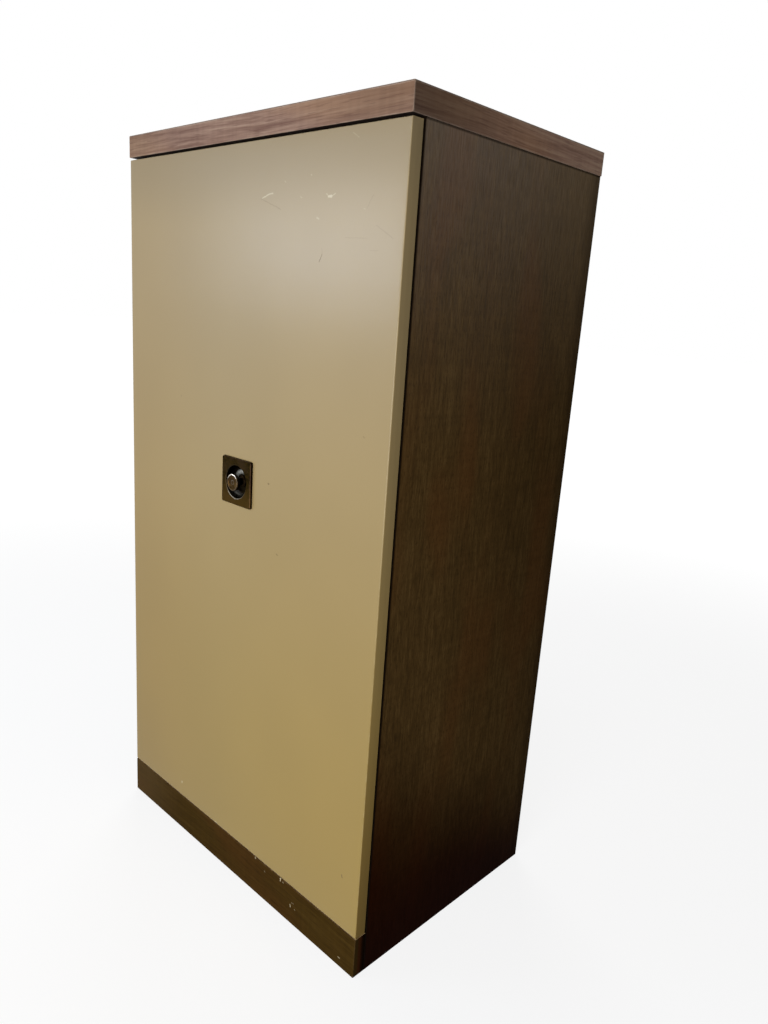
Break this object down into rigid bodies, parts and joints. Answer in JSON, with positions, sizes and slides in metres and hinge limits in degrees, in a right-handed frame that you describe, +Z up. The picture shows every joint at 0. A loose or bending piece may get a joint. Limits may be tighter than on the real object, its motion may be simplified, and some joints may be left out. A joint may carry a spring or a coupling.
{
  "type": "narrow door cabinet",
  "caption": "Tall narrow free-standing cabinet with a full-height side-hinged door, a thick slab top, a square plate pull with a recessed cup and knob, and adjustable shelves inside.",
  "frame": {"origin": "on the floor under the middle of the slab top", "axes": "+X to the right seen from the front, +Y to the back, +Z up"},
  "size_m": [0.6154, 0.418, 1.17],
  "materials": {
    "slab_woodgrain": "satin walnut-grain laminate, grey-brown with a fine dark figure",
    "side_woodgrain": "satin dark brown woodgrain, grain upright",
    "door_paint": "satin olive-gold paint with small chips and scratches",
    "chipboard": "bare chipboard",
    "inner_board": "plain pale laminate on board",
    "hardboard": "smooth brown hardboard",
    "softwood": "bare softwood",
    "hinge_steel": "bronze-plated steel",
    "zinc_steel": "bright zinc plate",
    "antique_bronze": "dark antique bronze, rubbed brighter on the rims",
    "catch_plastic": "brown moulded plastic",
    "magnet": "steel pole plates on a dark magnet",
    "bumper_rubber": "translucent soft stop"
  },
  "bodies": {
    "case": {"slab_top_laminate": "slab_woodgrain", "slab_front_edging": "slab_woodgrain", "slab_rear_edging": "slab_woodgrain", "slab_left_edging": "slab_woodgrain", "slab_right_edging": "slab_woodgrain", "left_side": "side_woodgrain", "right_side": "side_woodgrain", "left_side_edging": "side_woodgrain", "right_side_edging": "side_woodgrain", "plinth_facing": "side_woodgrain", "slab_core": "chipboard", "plinth_board": "chipboard", "front_top_rail": "chipboard", "rear_top_rail": "chipboard", "rear_plinth_rail": "chipboard", "bottom_board": "inner_board", "lower_shelf": "inner_board", "middle_shelf": "inner_board", "upper_shelf": "inner_board", "lower_shelf_edging": "inner_board", "middle_shelf_edging": "inner_board", "upper_shelf_edging": "inner_board", "back_panel": "hardboard", "plinth_glue_blocks": "softwood", "case_dowels": "softwood", "lower_hinge_case_leaf": "hinge_steel", "middle_hinge_case_leaf": "hinge_steel", "upper_hinge_case_leaf": "hinge_steel", "lower_hinge_pin": "hinge_steel", "middle_hinge_pin": "hinge_steel", "upper_hinge_pin": "hinge_steel", "hinge_screws_in_case": "hinge_steel", "shelf_pins": "zinc_steel", "catch_screws": "zinc_steel", "slab_screws": "zinc_steel", "back_panel_nails": "zinc_steel", "catch_housings": "catch_plastic", "catch_magnet_packs": "magnet", "door_bumpers": "bumper_rubber"},
    "door": {"door_panel": "door_paint", "lower_hinge_door_leaf": "hinge_steel", "middle_hinge_door_leaf": "hinge_steel", "upper_hinge_door_leaf": "hinge_steel", "hinge_screws_in_door": "hinge_steel", "strike_plates": "zinc_steel", "strike_screws": "zinc_steel", "pull_washer": "zinc_steel", "pull_screw": "zinc_steel", "pull_plate": "antique_bronze", "pull_knob": "antique_bronze"}
  },
  "joints": [
    {"name": "door_hinge", "type": "hinge", "parent": "case", "child": "door", "pos_m": [-0.3074, -0.183, 0.6], "axis": [0, 0, -1], "range_deg": [0, 180]}
  ]
}
